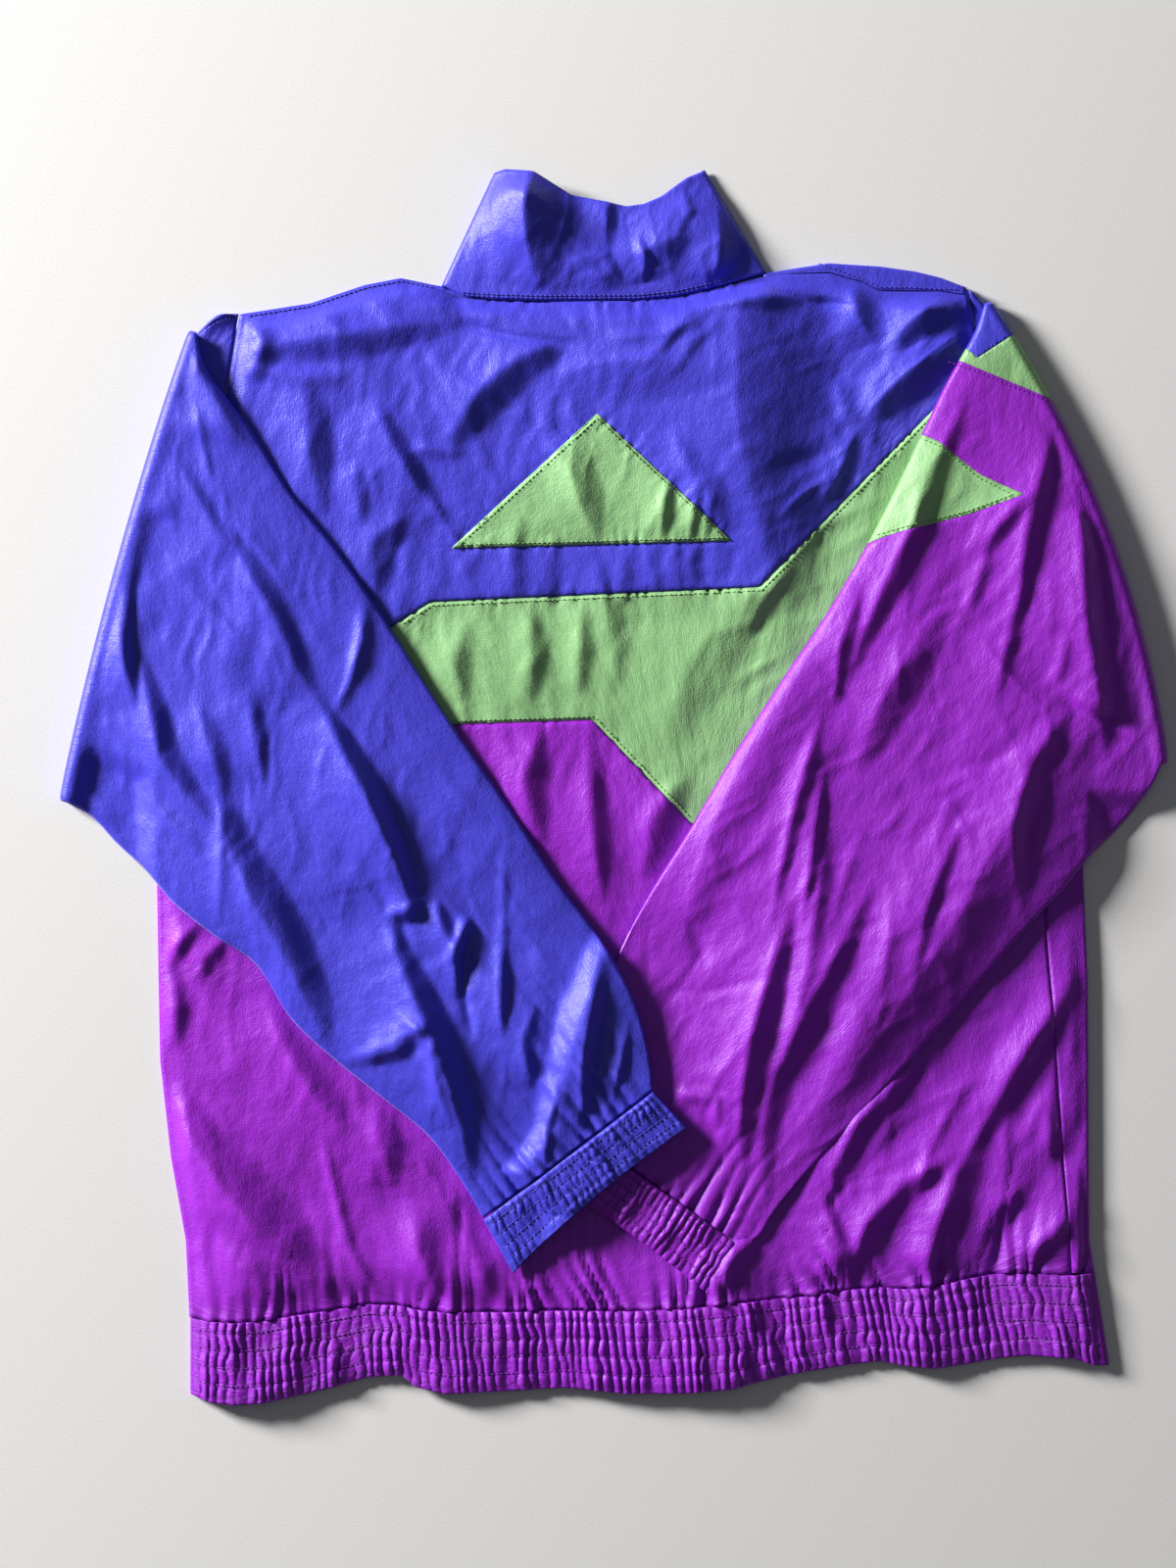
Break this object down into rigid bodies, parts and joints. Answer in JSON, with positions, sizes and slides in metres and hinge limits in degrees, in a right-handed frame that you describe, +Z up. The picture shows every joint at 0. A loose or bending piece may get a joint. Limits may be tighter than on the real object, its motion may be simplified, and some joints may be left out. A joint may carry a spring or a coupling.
{
  "type": "windbreaker jacket",
  "caption": "Thin shell windbreaker lying face down, sleeves folded across its colour-blocked purple, green and magenta back, with gathered waistband and cuffs",
  "frame": {"origin": "centre of the footprint, on the surface the jacket lies on", "axes": "Z up from that surface, Y towards the collar, X towards the wearer's right side, which is on the right as the back faces the viewer"},
  "size_m": [0.71, 0.793, 0.0265],
  "materials": {
    "purple_cloth": "crinkled satin nylon",
    "magenta_cloth": "crinkled satin nylon",
    "green_cloth": "crinkled satin nylon",
    "zip_tape": "woven tape with moulded teeth",
    "zip_metal": "plain cast metal"
  },
  "bodies": {
    "jacket": {"back_yoke": "purple_cloth", "back_triangle": "green_cloth", "back_band": "green_cloth", "back_lower": "magenta_cloth", "front_left_yoke": "purple_cloth", "front_left_lower": "magenta_cloth", "front_right_yoke": "purple_cloth", "front_right_lower": "magenta_cloth", "left_sleeve": "purple_cloth", "left_cuff": "purple_cloth", "right_sleeve_cap": "purple_cloth", "right_sleeve_band": "green_cloth", "right_sleeve_wedge": "green_cloth", "right_sleeve_main": "magenta_cloth", "right_cuff": "magenta_cloth", "collar": "purple_cloth", "waistband": "magenta_cloth", "zip_tape_left": "zip_tape", "zip_tape_right": "zip_tape", "zip_slider": "zip_metal"},
    "pull": {"zip_pull": "zip_metal"}
  },
  "joints": [
    {"name": "zip_pull_swing", "type": "hinge", "parent": "jacket", "child": "pull", "pos_m": [-0.00648, 0.3204, 0.0008], "axis": [1, 0, 0], "range_deg": [0, 150]}
  ]
}
